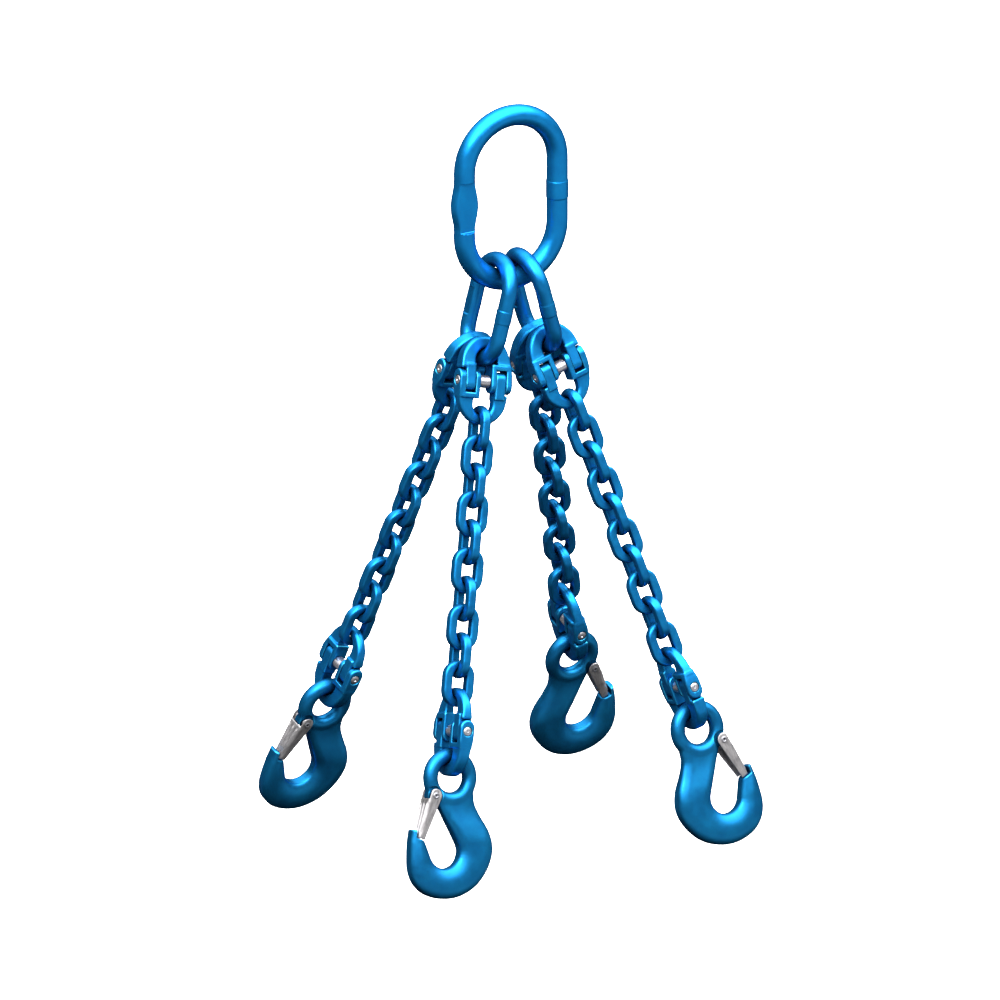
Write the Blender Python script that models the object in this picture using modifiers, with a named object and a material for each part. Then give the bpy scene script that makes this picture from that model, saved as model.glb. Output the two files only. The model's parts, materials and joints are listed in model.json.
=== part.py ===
"""Four leg chain sling, hanging from its master link with the legs spread.

A master link carries two intermediate links. Each of those carries two legs. A leg is a
coupling, ten links of chain, a second coupling and an eye hook with a spring latch.

The origin is the inner crown of the master link, where the lifting hook bears. Z is up,
X runs along the width of the master link, and the hooks open outwards along X.
Lengths are in metres.
"""

import math

import bmesh
import bpy
from mathutils import Matrix, Vector

MM = 0.001
GAP = 0.3 * MM  # clearance between pieces that bear on each other

# Master link: an oblong of round bar in the XZ plane, pressed flat on its left side.
MASTER_BAR = 23 * MM
MASTER_INNER = (90 * MM, 160 * MM)
MASTER_FLAT_LENGTH = 54 * MM
MASTER_FLAT_WIDTH = 31 * MM
MASTER_FLAT_THICKNESS = 15 * MM
MASTER_FLAT_TAPER = 1.25  # how far the pressed metal runs on, past the flat's own length

# Intermediate links: oblongs that stand across the master link's bottom bow.
INTERMEDIATE_BAR = 17 * MM
INTERMEDIATE_INNER = (46 * MM, 90 * MM)
INTERMEDIATE_OFFSET = 13 * MM  # from the centre plane to where each one hangs
INTERMEDIATE_TILT = math.radians(15)
INTERMEDIATE_FLAT_LENGTH = 30 * MM
INTERMEDIATE_FLAT_THICKNESS = 13.5 * MM

# Couplings: two halves whose knuckles interleave on a load pin.
KNUCKLE_SPAN = 63 * MM  # over the outer faces of the knuckles, along the pin
KNUCKLE_INNER = 6.5 * MM  # from the centre to the first knuckle: half the room for the sleeve
TONGUE = (12.3 * MM, 24 * MM)  # where the tongue starts and ends along the pin
KNUCKLE_THICKNESS = 17 * MM
KNUCKLE_REACH = 12 * MM  # how far a knuckle runs past the pin's axis
TONGUE_ROOT = 20 * MM  # where the tongue has run into the bow
WEB = (12.5 * MM, 18.5 * MM)  # where a fork's web starts and ends, from the pin's axis
FOOT_RISE = 3 * MM  # of a bow's feet above the underside of the web
KNEE_RISE = 1 * MM  # of a bow's knees above the web
PIN_RADIUS = 5 * MM
PIN_BORE_RADIUS = 5.8 * MM
SLEEVE_RADIUS = 6.7 * MM
BOW_GAP = 0.9 * MM  # between an upper coupling's bow and the link that it hangs on
LOAD_HALF = {"bar": 14 * MM, "reach": 34.5 * MM, "bow": 22 * MM}
CHAIN_HALF = {"bar": 11 * MM, "reach": 35 * MM, "bow": 20.5 * MM}

# Chain: short links, alternately edge on and face on.
CHAIN_WIRE = 10 * MM
CHAIN_PITCH = 30 * MM
CHAIN_WIDTH = 36 * MM
LINKS_PER_LEG = 10
LINKS_PER_PIECE = 2
STUD_RADIUS = 2.6 * MM  # joins the two links of one piece where they bear
STUD_LENGTH = 7 * MM

# Legs: how far each one leans out, as a slope from the vertical along X and Y.
LEG_SLOPE = (0.267, 0.283)
BOW_ANGLE = math.radians(28)  # where a coupling bears, round the intermediate link's bow
COUPLING_LEAN = math.radians(5)  # of an upper coupling's top half, past the leg's own lean
LEGS = {
    "front_left": (-1, -1),
    "front_right": (1, -1),
    "back_left": (-1, 1),
    "back_right": (1, 1),
}

# Hook: drawn in its own plane as (u, v) from the eye's centre. u points to the hook's
# open side and v points down the leg.
EYE_RADIUS = 15.3 * MM
EYE_BAR = 16 * MM
SEAT_CENTRE = (1.0, 78.5)  # centre of the bowl in which the load sits
# Round the bowl: (degrees from the back of the hook, inner radius, outer radius, half thickness)
BOWL = (
    (0, 18.3, 57.0, 11.0),
    (25, 18.3, 54.3, 11.0),
    (50, 18.3, 51.4, 11.0),
    (75, 18.3, 50.4, 11.0),
    (100, 18.3, 50.2, 11.0),
    (125, 18.3, 49.4, 10.8),
    (150, 18.8, 45.5, 10.3),
    (180, 20.5, 42.0, 9.8),
)
# Shank, from the eye down: (inner edge, outer edge, half thickness)
SHANK = (
    ((15.5, 22.0), (-26.5, 15.5), 8.6),
    ((11.5, 32.0), (-29.5, 25.5), 8.8),
    ((4.5, 42.0), (-36.5, 36.0), 9.2),
    ((-3.5, 53.5), (-46.0, 47.5), 10.0),
    ((-11.5, 65.0), (-54.0, 60.5), 10.7),
)
# Tip, from the bowl up. The step between the first two rows is the latch's rest.
TIP = (
    ((25.8, 70.4), (43.2, 70.4), 9.5),
    ((36.9, 69.9), (43.3, 69.3), 9.2),
    ((38.7, 59.6), (43.4, 58.8), 8.4),
)

# Latch: a folded steel channel that turns on a pin through the hook's neck.
LATCH_PIVOT = (20.3, 20.5)
LATCH_LENGTH = 48.0 * MM
LATCH_LEAN = math.radians(13.4)  # from the hook's centre line towards its open side
LATCH_HALF_WIDTHS = (7.4 * MM, 4.6 * MM)  # in the hook's plane, at the pivot and the end
LATCH_HALF_SPANS = (10.9 * MM, 6.4 * MM)  # across the hook, over the cheeks, likewise
LATCH_SHEET = 1.5 * MM
LATCH_WEB_START = 5 * MM
LATCH_PIN_RADIUS = 2.6 * MM
LATCH_PIN_REACH = 11.7 * MM  # of either end, from the hook's plane
LATCH_BORE_RADIUS = 3.2 * MM

# Materials: (colour, metallic, roughness)
FINISHES = {
    "master_link_paint": ((0.012, 0.19, 0.50), 0.55, 0.30),
    "intermediate_link_paint": ((0.012, 0.18, 0.47), 0.55, 0.31),
    "coupling_paint": ((0.010, 0.16, 0.42), 0.55, 0.33),
    "chain_paint": ((0.012, 0.18, 0.46), 0.55, 0.32),
    "hook_paint": ((0.012, 0.19, 0.50), 0.55, 0.30),
    "load_pin_steel": ((0.62, 0.64, 0.66), 0.95, 0.30),
    "latch_steel": ((0.48, 0.47, 0.46), 0.90, 0.38),
    "latch_pin_steel": ((0.40, 0.41, 0.43), 0.95, 0.32),
}

X, Y, Z = Vector((1, 0, 0)), Vector((0, 1, 0)), Vector((0, 0, 1))


# ---------------------------------------------------------------- scene and placing


def clear_scene():
    for old in list(bpy.data.objects):
        bpy.data.objects.remove(old, do_unlink=True)


def new_collection(name):
    made = bpy.data.collections.new(name)
    bpy.context.scene.collection.children.link(made)
    return made


def new_material(name):
    colour, metallic, roughness = FINISHES[name]
    made = bpy.data.materials.new(name)
    made.use_nodes = True
    shader = made.node_tree.nodes["Principled BSDF"]
    shader.inputs["Base Color"].default_value = (*colour, 1)
    shader.inputs["Metallic"].default_value = metallic
    shader.inputs["Roughness"].default_value = roughness
    return made


def axes_at(origin, across, up):
    """The matrix of a frame with X along across and Z as near up as it can be."""
    across = across.normalized()
    side = up.cross(across).normalized()
    up = across.cross(side)
    frame = Matrix((across, side, up)).transposed().to_4x4()
    frame.translation = origin
    return frame


class Assembly:
    """The sling's collection, and where each object in it stands in the world."""

    def __init__(self):
        self.collection = new_collection("four_leg_chain_sling")
        self.materials = {name: new_material(name) for name in FINISHES}
        self.world = {None: Matrix.Identity(4)}

    def hang(self, made, parent, world):
        self.collection.objects.link(made)
        made.parent = parent
        made.matrix_basis = self.world[parent].inverted() @ world
        self.world[made] = world
        return made

    def pivot(self, name, parent, world):
        """An empty on a joint's axis, for the pieces that turn there."""
        made = bpy.data.objects.new(name, None)
        made.empty_display_size = 10 * MM
        return self.hang(made, parent, world)

    def piece(self, name, mesh, finish, parent, world):
        made = bpy.data.objects.new(name, mesh)
        self.hang(made, parent, world)
        made.material_slots[0].link = "OBJECT"
        made.material_slots[0].material = self.materials[finish]
        return made


# ---------------------------------------------------------------- modelling helpers


def baked(name, thing):
    """The mesh of an object or a curve as Blender evaluates it, welded and shaded smooth."""
    if isinstance(thing, bpy.types.Curve):
        thing = bpy.data.objects.new(name, thing)
    if not thing.users_scene:
        bpy.context.scene.collection.objects.link(thing)
    graph = bpy.context.evaluated_depsgraph_get()
    mesh = bpy.data.meshes.new_from_object(thing.evaluated_get(graph))
    bpy.data.objects.remove(thing, do_unlink=True)
    mesh.name = name
    work = bmesh.new()
    work.from_mesh(mesh)
    bmesh.ops.remove_doubles(work, verts=work.verts, dist=0.001 * MM)
    bmesh.ops.recalc_face_normals(work, faces=work.faces)
    work.to_mesh(mesh)
    work.free()
    mesh.materials.clear()
    mesh.materials.append(None)
    mesh.shade_smooth()
    mesh.set_sharp_from_angle(angle=math.radians(40))
    return mesh


def from_bmesh(name, work):
    mesh = bpy.data.meshes.new(name)
    work.to_mesh(mesh)
    work.free()
    return mesh


def united(name, meshes, holes=()):
    """One closed body made of meshes that overlap, less the holes."""
    pieces = [bpy.data.objects.new(mesh.name, mesh) for mesh in (*meshes, *holes)]
    for made in pieces:
        bpy.context.scene.collection.objects.link(made)
    body = pieces[0]
    for index, other in enumerate(pieces[1:], 1):
        cut = body.modifiers.new(other.name, "BOOLEAN")
        cut.operation = "UNION" if index < len(meshes) else "DIFFERENCE"
        cut.object = other
    mesh = baked(name, body)
    for made in pieces[1:]:
        bpy.data.objects.remove(made, do_unlink=True)
    return mesh


def wire(name, points, diameter, sides, closed=True):
    """Round wire along points."""
    curve = bpy.data.curves.new(name, "CURVE")
    curve.dimensions = "3D"
    curve.bevel_depth = diameter / 2
    curve.bevel_resolution = (sides - 4) // 2
    curve.use_fill_caps = not closed
    spline = curve.splines.new("POLY")
    spline.points.add(len(points) - 1)
    spline.use_cyclic_u = closed
    for slot, point in zip(spline.points, points):
        slot.co = (*point, 1)
    return baked(name, curve)


def arc(centre, radius, start, end, steps):
    """Points on an arc in the XZ plane. Angles are in degrees from X towards Z."""
    found = []
    for step in range(steps + 1):
        angle = math.radians(start + (end - start) * step / steps)
        found.append(centre + radius * (math.cos(angle) * X + math.sin(angle) * Z))
    return found


def oblong(inner, bar, steps):
    """Centre line of a link in the XZ plane, centred on the origin and longest along Z."""
    radius = (inner[0] + bar) / 2
    straight = (inner[1] - inner[0]) / 2
    return arc(straight * Z, radius, 0, 180, steps) + arc(-straight * Z, radius, 180, 360, steps)


def cylinder(name, radius, start, end, axis, sides, centre=Vector()):
    """A cylinder from start to end along an axis through centre."""
    work = bmesh.new()
    turned = axis.to_track_quat("Z", "Y").to_matrix().to_4x4()
    turned.translation = centre + axis * (start + end) / 2
    bmesh.ops.create_cone(
        work,
        cap_ends=True,
        segments=sides,
        radius1=radius,
        radius2=radius,
        depth=end - start,
        matrix=turned,
    )
    return from_bmesh(name, work)


def box(name, low, high):
    work = bmesh.new()
    low, high = Vector(low), Vector(high)
    bmesh.ops.create_cube(work, size=1)
    bmesh.ops.scale(work, vec=high - low, verts=work.verts)
    bmesh.ops.translate(work, vec=(low + high) / 2, verts=work.verts)
    return from_bmesh(name, work)


def plate(name, outline, thickness, frame):
    """A flat outline in a frame's XY plane, with half its thickness on either side."""
    curve = bpy.data.curves.new(name, "CURVE")
    curve.dimensions = "2D"
    curve.fill_mode = "BOTH"
    curve.extrude = thickness / 2
    spline = curve.splines.new("POLY")
    spline.points.add(len(outline) - 1)
    spline.use_cyclic_u = True
    for slot, (x, y) in zip(spline.points, outline):
        slot.co = (x, y, 0, 1)
    mesh = baked(name, curve)
    mesh.transform(frame)
    return mesh


# ---------------------------------------------------------------- links


def master_link():
    """The oblong, with a stretch of its left bar pressed flat and wide."""
    width, length = MASTER_INNER
    bar_x = -(width + MASTER_BAR) / 2
    ring = wire("ring", oblong(MASTER_INNER, MASTER_BAR, 10), MASTER_BAR, 12)
    half = MASTER_FLAT_LENGTH / 2
    lens = []
    for step in range(12):
        angle = 2 * math.pi * (step + 0.5) / 12
        out = MASTER_FLAT_WIDTH / 2 * math.cos(angle)
        lens.append((bar_x + out, MASTER_FLAT_TAPER * half * math.sin(angle)))
    flat = plate("flat", lens, MASTER_FLAT_THICKNESS, Matrix.Rotation(math.pi / 2, 4, "X"))
    cuts = []
    for side in (-1, 1):
        inner = side * MASTER_FLAT_THICKNESS / 2
        outer = side * MASTER_BAR
        low = (bar_x - MASTER_BAR, min(inner, outer), -half)
        high = (bar_x + MASTER_BAR, max(inner, outer), half)
        cuts.append(box("cut", low, high))
    return united("master_link", [ring, flat], cuts)


def intermediate_link():
    """A plain oblong with a short stretch of its far bar (local +X) pressed flatter."""
    ring = wire("ring", oblong(INTERMEDIATE_INNER, INTERMEDIATE_BAR, 8), INTERMEDIATE_BAR, 10)
    bar_x = (INTERMEDIATE_INNER[0] + INTERMEDIATE_BAR) / 2
    half = INTERMEDIATE_FLAT_LENGTH / 2
    cuts = []
    for side in (-1, 1):
        inner = side * INTERMEDIATE_FLAT_THICKNESS / 2
        outer = side * INTERMEDIATE_BAR
        low = (bar_x - INTERMEDIATE_BAR, min(inner, outer), -half)
        high = (bar_x + INTERMEDIATE_BAR, max(inner, outer), half)
        cuts.append(box("cut", low, high))
    return united("intermediate_link", [ring], cuts)


def chain_piece():
    """Two links, the upper one edge on. The piece hangs down from the bearing at its top."""
    inner = (CHAIN_WIDTH - 2 * CHAIN_WIRE, CHAIN_PITCH + GAP)
    turned = Matrix.Rotation(math.pi / 2, 4, "Z")
    links = []
    for index in range(LINKS_PER_PIECE):
        link = wire("link", oblong(inner, CHAIN_WIRE, 5), CHAIN_WIRE, 6)
        if index % 2 == 0:
            link.transform(turned)
        link.transform(Matrix.Translation(-(index + 0.5) * CHAIN_PITCH * Z))
        links.append(link)
    half = STUD_LENGTH / 2
    stud = cylinder("stud", STUD_RADIUS, -half, half, Z, 6, -CHAIN_PITCH * Z)
    return united("chain_piece", [links[0], stud, links[1]])


# ---------------------------------------------------------------- couplings


def knuckle(start, end, top):
    """A plate across the pin from start to end, round past the pin and flat at its top."""
    radius = KNUCKLE_THICKNESS / 2
    centre = -(KNUCKLE_REACH - radius)
    outline = [(radius, top), (-radius, top)]
    for step in range(5):
        angle = math.pi + math.pi * step / 4
        outline.append((radius * math.cos(angle), centre + radius * math.sin(angle)))
    frame = Matrix(((0, 0, 1, (start + end) / 2), (1, 0, 0, 0), (0, 1, 0, 0), (0, 0, 0, 1)))
    return plate("knuckle", outline, end - start, frame)


def coupling_half(name, bar, reach, bow):
    """One half with its bow up, a fork at -X and a tongue at +X, and the pin along X."""
    crown = reach + GAP / 2 + bar / 2
    centre = (crown - bow) * Z
    fork_x, tongue_x = -(KNUCKLE_SPAN / 2 + KNUCKLE_INNER) / 2, sum(TONGUE) / 2
    path = [
        Vector((tongue_x, 0, WEB[0] + FOOT_RISE)),
        Vector(((tongue_x + bow) / 2, 0, WEB[1] + KNEE_RISE)),
        *arc(centre, bow, 12, 168, 5),
        Vector(((fork_x - bow) / 2, 0, WEB[1] + KNEE_RISE)),
        Vector((fork_x, 0, WEB[0] + FOOT_RISE)),
    ]
    parts = [wire("bow", path, bar, 6, closed=False)]
    side = KNUCKLE_THICKNESS / 2
    outer = KNUCKLE_SPAN / 2
    parts.append(box("web", (-outer, -side, WEB[0]), (-KNUCKLE_INNER, side, WEB[1])))
    top = (WEB[0] + WEB[1]) / 2
    parts.append(knuckle(-outer, -TONGUE[1] - GAP, top))
    parts.append(knuckle(-TONGUE[0] + GAP, -KNUCKLE_INNER, top))
    parts.append(knuckle(*TONGUE, TONGUE_ROOT))
    bore = cylinder("bore", PIN_BORE_RADIUS, -outer - MM, outer + MM, X, 8)
    return united(name, parts, [bore])


def load_pin():
    """The pin along X, flush with the knuckles, with its retaining sleeve round the middle."""
    half = KNUCKLE_SPAN / 2
    pin = cylinder("pin", PIN_RADIUS, -half, half, X, 8)
    sleeve_half = KNUCKLE_INNER - GAP
    sleeve = cylinder("sleeve", SLEEVE_RADIUS, -sleeve_half, sleeve_half, X, 8)
    return united("load_pin", [pin, sleeve])


# ---------------------------------------------------------------- hook and latch


def in_hook(u, v):
    """A point of the hook's plane, given in millimetres."""
    return Vector((u, 0, -v)) * MM


def hook_rows():
    """(inner edge, outer edge, half thickness) all along the hook, from neck to tip."""
    rows = [(in_hook(*a), in_hook(*b), thick * MM) for a, b, thick in SHANK]
    for degrees, inner, outer, thick in BOWL:
        angle = math.radians(degrees)
        ray = (-math.cos(angle), math.sin(angle))
        edges = [
            in_hook(SEAT_CENTRE[0] + r * ray[0], SEAT_CENTRE[1] + r * ray[1])
            for r in (inner, outer)
        ]
        rows.append((*edges, thick * MM))
    return rows + [(in_hook(*a), in_hook(*b), thick * MM) for a, b, thick in TIP]


def lofted(name, rows):
    """A body through eight sided sections, each given by its two edges and half thickness."""
    section = ((1, 0.45), (0.6, 1), (-0.6, 1), (-1, 0.45))
    section += tuple((a, -b) for a, b in reversed(section))
    work = bmesh.new()
    rings = []
    for inner, outer, thick in rows:
        centre, reach = (inner + outer) / 2, (inner - outer) / 2
        rings.append([work.verts.new(centre + a * reach + b * thick * Y) for a, b in section])
    for first, second in zip(rings, rings[1:]):
        for index in range(len(section)):
            after = (index + 1) % len(section)
            work.faces.new((first[index], first[after], second[after], second[index]))
    work.faces.new(reversed(rings[0]))
    work.faces.new(rings[-1])
    bmesh.ops.recalc_face_normals(work, faces=work.faces)
    return from_bmesh(name, work)


def eye_ring():
    """The ring of the hook's eye, round the origin."""
    radius = EYE_RADIUS + EYE_BAR / 2
    return wire("eye", arc(Vector(), radius, 0, 360, 16)[:-1], EYE_BAR, 8)


def hook():
    """Eye, shank, bowl and tip in one forging, bored for the latch pin."""
    reach = LATCH_HALF_SPANS[0]
    bore = cylinder("bore", LATCH_BORE_RADIUS, -reach, reach, Y, 8, in_hook(*LATCH_PIVOT))
    return united("hook", [eye_ring(), lofted("body", hook_rows())], [bore])


def latch():
    """A channel of folded sheet along -Z from its pivot, its web on the +X side."""
    wide, narrow = LATCH_HALF_WIDTHS
    span, end_span = LATCH_HALF_SPANS

    def width(down):
        return wide + (narrow - wide) * down / LATCH_LENGTH

    def reach(down):
        return span + (end_span - span) * down / LATCH_LENGTH

    angles = [math.radians(15 + 165 * step / 6) for step in range(7)]
    outline = [(wide * math.cos(a), -wide * math.sin(a)) for a in angles]
    outline += [(-narrow, LATCH_LENGTH), (narrow, LATCH_LENGTH)]
    outline.append((width(LATCH_WEB_START), LATCH_WEB_START))
    work = bmesh.new()
    cheeks = []
    for side in (-1, 1):
        cheek = [work.verts.new((x, side * reach(down), -down)) for x, down in outline]
        work.faces.new(cheek if side > 0 else list(reversed(cheek)))
        cheeks.append(cheek)
    (near_end, near_start), (far_end, far_start) = (cheek[-2:] for cheek in cheeks)
    work.faces.new((near_start, near_end, far_end, far_start))
    bmesh.ops.recalc_face_normals(work, faces=work.faces)
    shell = bpy.data.objects.new("shell", from_bmesh("shell", work))
    sheet = shell.modifiers.new("sheet", "SOLIDIFY")
    sheet.thickness = LATCH_SHEET
    sheet.offset = -1
    sheet.use_even_offset = True
    folded = baked("folded", shell)
    bore = cylinder("bore", LATCH_BORE_RADIUS, -span - MM, span + MM, Y, 8)
    return united("latch", [folded], [bore])


def latch_pin():
    pin = cylinder("latch_pin", LATCH_PIN_RADIUS, -LATCH_PIN_REACH, LATCH_PIN_REACH, Y, 8)
    return baked("latch_pin", bpy.data.objects.new("latch_pin", pin))


# ---------------------------------------------------------------- the sling


def swing_centre(side):
    """Where an intermediate link's top bar is centred, in the master link's bottom bow."""
    bow_centre = -(MASTER_INNER[1] - MASTER_INNER[0] / 2) * Z
    inside = MASTER_INNER[0] / 2 - INTERMEDIATE_BAR / 2 - GAP
    drop = math.sqrt(inside**2 - INTERMEDIATE_OFFSET**2)
    return bow_centre + side * INTERMEDIATE_OFFSET * X - drop * Z


def intermediate_down(side):
    return side * math.sin(INTERMEDIATE_TILT) * X - math.cos(INTERMEDIATE_TILT) * Z


def leg_axes(side, depth):
    """The leg's own (across, sideways, down): across points to the hook's open side."""
    down = Vector((side * LEG_SLOPE[0], depth * LEG_SLOPE[1], -1)).normalized()
    across = (side * (X - X.dot(down) * down)).normalized()
    return across, across.cross(down), down


def build_leg(sling, shapes, name, side, depth, parent):
    """One leg: coupling, chain, coupling, hook and latch, hung from an intermediate link."""
    across, sideways, down = leg_axes(side, depth)
    reach = (INTERMEDIATE_INNER[0] + INTERMEDIATE_BAR) / 2
    straight = (INTERMEDIATE_INNER[1] - INTERMEDIATE_INNER[0]) / 2
    link_down = intermediate_down(side)
    bow_centre = swing_centre(side) + (reach + 2 * straight) * link_down
    ray = math.cos(BOW_ANGLE) * link_down + math.sin(BOW_ANGLE) * depth * Y
    bearing = bow_centre + reach * ray
    bow = bearing - (INTERMEDIATE_BAR / 2 + BOW_GAP + LOAD_HALF["bar"] / 2) * ray
    lean = Matrix.Rotation(side * depth * COUPLING_LEAN, 3, across)
    top_down = lean @ down
    crown = LOAD_HALF["reach"] + GAP / 2 + LOAD_HALF["bar"] / 2
    upper_pin = bow + crown * top_down

    # Upper coupling: its top half swings on the intermediate link, its chain half on the pin.
    here = sling.pivot(f"{name}_upper_coupling_swing", parent, axes_at(bearing, across, -top_down))
    at_pin = axes_at(upper_pin, across, -top_down)
    sling.piece(f"{name}_upper_coupling_top_half", shapes["load_half"], "coupling_paint", here, at_pin)
    sling.piece(f"{name}_upper_coupling_pin", shapes["load_pin"], "load_pin_steel", here, at_pin)
    hung = axes_at(upper_pin, -across, down)
    here = sling.pivot(f"{name}_upper_coupling_hinge", here, hung)
    sling.piece(f"{name}_upper_coupling_chain_half", shapes["chain_half"], "coupling_paint", here, hung)

    # Chain: each piece turns about its own top wire, or about the wire that it hangs on.
    top = upper_pin + CHAIN_HALF["reach"] * down
    offset = (CHAIN_WIRE + GAP) / 2
    for index in range(LINKS_PER_LEG // LINKS_PER_PIECE):
        placed = axes_at(top, across, -down)
        turn = Matrix.Translation(down * (-offset if index % 2 == 0 else offset)) @ placed
        here = sling.pivot(f"{name}_chain_{index + 1}_swing", here, turn)
        sling.piece(f"{name}_chain_{index + 1}", shapes["chain_piece"], "chain_paint", here, placed)
        top = top + LINKS_PER_PIECE * CHAIN_PITCH * down

    # Lower coupling, a quarter turn round from the upper one.
    lower_pin = top + CHAIN_HALF["reach"] * down
    at_pin = axes_at(lower_pin, sideways, -down)
    swing = Matrix.Translation(top + offset * down)
    here = sling.pivot(f"{name}_lower_coupling_swing", here, swing)
    sling.piece(f"{name}_lower_coupling_chain_half", shapes["chain_half"], "coupling_paint", here, at_pin)
    sling.piece(f"{name}_lower_coupling_pin", shapes["load_pin"], "load_pin_steel", here, at_pin)
    hung = axes_at(lower_pin, -sideways, down)
    here = sling.pivot(f"{name}_lower_coupling_hinge", here, hung)
    sling.piece(f"{name}_lower_coupling_hook_half", shapes["load_half"], "coupling_paint", here, hung)

    # Hook and latch.
    eye = lower_pin + (LOAD_HALF["reach"] - GAP / 2 + EYE_RADIUS) * down
    placed = axes_at(eye, across, -down)
    swing = Matrix.Translation(-(EYE_RADIUS + EYE_BAR / 2) * down) @ placed
    here = sling.pivot(f"{name}_hook_swing", here, swing)
    sling.piece(f"{name}_hook", shapes["hook"], "hook_paint", here, placed)
    pivot = placed @ Matrix.Translation(in_hook(*LATCH_PIVOT))
    sling.piece(f"{name}_latch_pin", shapes["latch_pin"], "latch_pin_steel", here, pivot)
    closed = pivot @ Matrix.Rotation(-LATCH_LEAN, 4, "Y")
    sling.piece(f"{name}_latch", shapes["latch"], "latch_steel", here, closed)


def build():
    clear_scene()
    sling = Assembly()
    shapes = {
        "load_half": coupling_half("load_half", **LOAD_HALF),
        "chain_half": coupling_half("chain_half", **CHAIN_HALF),
        "load_pin": load_pin(),
        "chain_piece": chain_piece(),
        "hook": hook(),
        "latch": latch(),
        "latch_pin": latch_pin(),
        "intermediate_link": intermediate_link(),
    }
    centre = Matrix.Translation(-MASTER_INNER[1] / 2 * Z)
    sling.piece("master_link", master_link(), "master_link_paint", None, centre)
    swings = {}
    half = (INTERMEDIATE_INNER[1] + INTERMEDIATE_BAR) / 2
    for word, side in (("left", -1), ("right", 1)):
        down = intermediate_down(side)
        swing = swing_centre(side)
        here = sling.pivot(f"{word}_intermediate_swing", None, axes_at(swing, Y, -down))
        name = f"{word}_intermediate_link"
        placed = axes_at(swing + half * down, Y, -down)
        sling.piece(name, shapes["intermediate_link"], "intermediate_link_paint", here, placed)
        swings[side] = here
    for name, (side, depth) in LEGS.items():
        build_leg(sling, shapes, name, side, depth, swings[side])
    bpy.context.view_layer.update()


build()
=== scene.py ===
"""The looks of the four leg chain sling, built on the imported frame.

Every real piece is its own object here: the links, coupling halves, load pins, retaining
sleeves, hooks, latches, latch pins and latch springs. Shapes are worked out in millimetres
in a frame of their own, and stand where the frame's joints and boxes say.
"""

import json
import math

import bmesh
import bpy
import numpy as np
from mathutils import Matrix, Vector

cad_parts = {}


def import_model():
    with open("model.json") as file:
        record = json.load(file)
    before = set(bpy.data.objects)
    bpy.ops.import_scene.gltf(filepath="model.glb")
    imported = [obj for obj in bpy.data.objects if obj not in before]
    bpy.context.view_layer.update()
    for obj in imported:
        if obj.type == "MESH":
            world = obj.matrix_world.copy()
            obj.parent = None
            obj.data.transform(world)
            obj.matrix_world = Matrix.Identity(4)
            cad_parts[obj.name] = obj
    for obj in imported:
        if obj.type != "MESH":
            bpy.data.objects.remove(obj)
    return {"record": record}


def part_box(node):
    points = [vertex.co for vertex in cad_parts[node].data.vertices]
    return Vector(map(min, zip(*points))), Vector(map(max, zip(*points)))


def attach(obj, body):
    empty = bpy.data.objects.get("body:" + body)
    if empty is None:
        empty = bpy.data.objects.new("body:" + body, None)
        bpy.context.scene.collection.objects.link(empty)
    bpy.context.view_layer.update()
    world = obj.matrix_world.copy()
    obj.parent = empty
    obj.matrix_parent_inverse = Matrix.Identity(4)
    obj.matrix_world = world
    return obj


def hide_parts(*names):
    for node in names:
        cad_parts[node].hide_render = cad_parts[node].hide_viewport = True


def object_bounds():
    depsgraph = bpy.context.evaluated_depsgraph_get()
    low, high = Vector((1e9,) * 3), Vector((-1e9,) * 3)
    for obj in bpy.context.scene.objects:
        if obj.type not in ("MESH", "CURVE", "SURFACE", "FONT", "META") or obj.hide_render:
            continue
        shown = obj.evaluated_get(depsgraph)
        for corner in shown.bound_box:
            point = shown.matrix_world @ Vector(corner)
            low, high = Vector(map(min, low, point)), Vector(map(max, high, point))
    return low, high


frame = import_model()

CAD_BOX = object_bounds()
JOINTS = {joint["name"]: joint for joint in frame["record"]["behaviour"]["joints"]}
MM = 0.001
Y, Z = Vector((0, 1, 0)), Vector((0, 0, 1))
SHARP, TURNED_SHARP = math.radians(40), math.radians(35)  # edges sharper than this stay crisp
COUPLING_GRID, HOOK_GRID, LATCH_GRID = 0.85, 0.95, 0.45  # grid steps of the forged meshes
MARGIN = 1.5  # of a grid round its shape

# Links: bar and inner (width, length), in millimetres.
MASTER = {"bar": 23, "inner": (90, 160)}
INTERMEDIATE = {"bar": 17, "inner": (46, 90)}
CHAIN = {"bar": 10, "inner": (16, 30.3)}
CHAIN_PITCH = 30
CHAIN_PIECES = 5  # bodies of two links each in a leg
CHAIN_PIVOT = 5.15  # from a bearing between two links to the centre of either wire
MASTER_FLAT = {"half_length": 28, "half_thickness": 7.5, "bulge": 4.2, "bulge_reach": 25}
INTERMEDIATE_FLAT = {"half_length": 15, "half_thickness": 6.8, "bulge": 0.5, "bulge_reach": 14}
MASTER_COLLAR = {"half_length": 9.6, "rise": 0.5}
INTERMEDIATE_COLLAR = {"half_length": 7, "rise": 0.4}
SHOULDER = 0.7  # half the length over which a collar or a flat runs out
EDGE_STATIONS = (-0.9, -0.45, 0, 0.45, 0.9)  # from the end of a collar or a flat
BULGE_POWER = 1.5  # how sharply a flat's bulge falls off

# A chain link's section is a rounded square. It changes from the bars to the bows' crowns.
CHAIN_CROWN = (0.55, 0.9)  # where it changes, from 0 at a bow's ends to 1 at its crown
CHAIN_POWER = (5.0, 2.4)  # the higher, the squarer
CHAIN_HALF_WIRE = (4.95, 4.83)

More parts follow.
